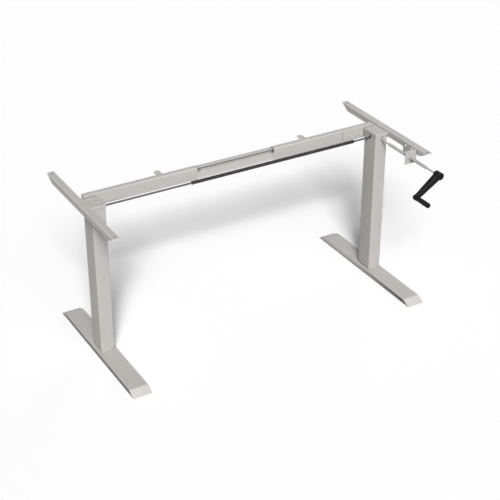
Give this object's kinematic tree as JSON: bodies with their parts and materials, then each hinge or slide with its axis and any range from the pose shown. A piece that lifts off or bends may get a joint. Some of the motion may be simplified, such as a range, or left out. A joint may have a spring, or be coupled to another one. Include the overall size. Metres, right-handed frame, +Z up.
{
  "type": "height adjustable desk frame",
  "caption": "Hand-cranked desk frame: two telescopic legs on flat feet, a telescopic cross beam, two desktop arms, and a cross shaft that drives both lead screws.",
  "frame": {"origin": "on the floor, under the middle of the whole outline from above, with the frame wound right down", "axes": "+X to the user's right, along the cross beam; +Y to the rear, away from the user; +Z up"},
  "size_m": [1.457, 0.8723, 0.7],
  "materials": {
    "frame_paint": "warm light grey powder coat, satin",
    "zinc_steel": "bright zinc plate",
    "dark_steel": "dark oiled steel",
    "machined_steel": "machined and greased",
    "cast_alloy": "die cast and blackened",
    "bearing_steel": "ground and shielded",
    "nut_brass": "machined",
    "guide_plastic": "natural white plastic",
    "glide_plastic": "dark grey plastic",
    "crank_plastic": "black moulded plastic, satin"
  },
  "bodies": {
    "left_base": {"left_foot": "frame_paint", "left_foot_glides": "glide_plastic", "left_foot_screws": "zinc_steel", "left_inner_column": "frame_paint", "left_upper_guide": "guide_plastic", "left_spindle_nut": "nut_brass"},
    "left_top": {"left_outer_column": "frame_paint", "left_lower_guide": "guide_plastic", "left_gear_housing": "cast_alloy", "left_screw_bearing": "bearing_steel", "left_top_cap": "frame_paint", "left_cap_screws": "zinc_steel", "left_arm": "frame_paint", "left_arm_packer": "frame_paint", "left_arm_bolts": "zinc_steel", "left_beam": "frame_paint", "left_beam_bracket": "frame_paint", "left_bracket_screws": "zinc_steel", "left_clamp_screws": "zinc_steel"},
    "left_screw": {"left_lead_screw": "machined_steel", "left_screw_gear": "machined_steel"},
    "left_shaft": {"left_hex_rod": "dark_steel", "left_shaft_pinion": "machined_steel"},
    "right_base": {"right_foot": "frame_paint", "right_foot_glides": "glide_plastic", "right_foot_screws": "zinc_steel", "right_inner_column": "frame_paint", "right_upper_guide": "guide_plastic", "right_spindle_nut": "nut_brass"},
    "right_top": {"right_outer_column": "frame_paint", "right_lower_guide": "guide_plastic", "right_gear_housing": "cast_alloy", "right_screw_bearing": "bearing_steel", "right_top_cap": "frame_paint", "right_cap_screws": "zinc_steel", "right_arm": "frame_paint", "right_arm_packer": "frame_paint", "right_arm_bolts": "zinc_steel", "right_beam": "frame_paint", "right_beam_bracket": "frame_paint", "right_bracket_screws": "zinc_steel", "right_clamp_screws": "zinc_steel", "crank_bracket": "frame_paint", "crank_bush": "guide_plastic", "crank_bracket_screws": "zinc_steel"},
    "right_screw": {"right_lead_screw": "machined_steel", "right_screw_gear": "machined_steel"},
    "right_shaft": {"right_hex_rod": "dark_steel", "right_shaft_pinion": "machined_steel", "shaft_tube": "dark_steel"},
    "rail": {"middle_rail": "frame_paint"},
    "crank_drive": {"crank_pinion": "machined_steel", "crank_inner_rod": "zinc_steel", "crank_tube": "zinc_steel"},
    "crank_handle": {"crank_outer_rod": "zinc_steel", "crank_arm": "crank_plastic", "grip_pin": "zinc_steel"},
    "grip": {"crank_grip": "crank_plastic"}
  },
  "joints": [
    {"name": "lift", "type": "slide", "parent": "left_base", "child": "left_top", "axis": [0, 0, 1], "range_m": [0, 0.4]},
    {"name": "left_screw_turn", "type": "hinge", "parent": "left_top", "child": "left_screw", "pos_m": [-0.6625, 0.0845, 0.6685], "axis": [0, 0, 1], "range_deg": [0, 24000]},
    {"name": "left_shaft_turn", "type": "hinge", "parent": "left_top", "child": "left_shaft", "pos_m": [-0.6625, 0.0845, 0.6685], "axis": [1, 0, 0], "range_deg": [0, 36000]},
    {"name": "width_left", "type": "slide", "parent": "left_top", "child": "rail", "axis": [1, 0, 0], "range_m": [-0.18, 0.12]},
    {"name": "width_right", "type": "slide", "parent": "rail", "child": "right_top", "axis": [1, 0, 0], "range_m": [-0.18, 0.12]},
    {"name": "right_lift", "type": "slide", "parent": "right_top", "child": "right_base", "axis": [0, 0, 1], "range_m": [-0.4, 0]},
    {"name": "right_screw_turn", "type": "hinge", "parent": "right_top", "child": "right_screw", "pos_m": [0.6625, 0.0845, 0.6685], "axis": [0, 0, 1], "range_deg": [-24000, 0]},
    {"name": "right_shaft_turn", "type": "hinge", "parent": "right_top", "child": "right_shaft", "pos_m": [0.6625, 0.0845, 0.6685], "axis": [1, 0, 0], "range_deg": [0, 36000]},
    {"name": "crank_turn", "type": "hinge", "parent": "right_top", "child": "crank_drive", "pos_m": [0.6625, 0.0845, 0.6685], "axis": [0, 1, 0], "range_deg": [0, 36000]},
    {"name": "crank_pull", "type": "slide", "parent": "crank_drive", "child": "crank_handle", "axis": [0, 1, 0], "range_m": [-0.06, 0.054]},
    {"name": "grip_spin", "type": "hinge", "parent": "crank_handle", "child": "grip", "pos_m": [0.56163, -0.3993, 0.5897], "axis": [0, 1, 0], "continuous": true}
  ],
  "couplings": [
    {"joint": "crank_turn", "follows": "lift", "rad_per_m": 1570.8},
    {"joint": "right_lift", "follows": "lift", "ratio": -1},
    {"joint": "left_shaft_turn", "follows": "lift", "rad_per_m": 1570.8},
    {"joint": "right_shaft_turn", "follows": "lift", "rad_per_m": 1570.8},
    {"joint": "left_screw_turn", "follows": "lift", "rad_per_m": 1047.2},
    {"joint": "right_screw_turn", "follows": "lift", "rad_per_m": -1047.2}
  ]
}
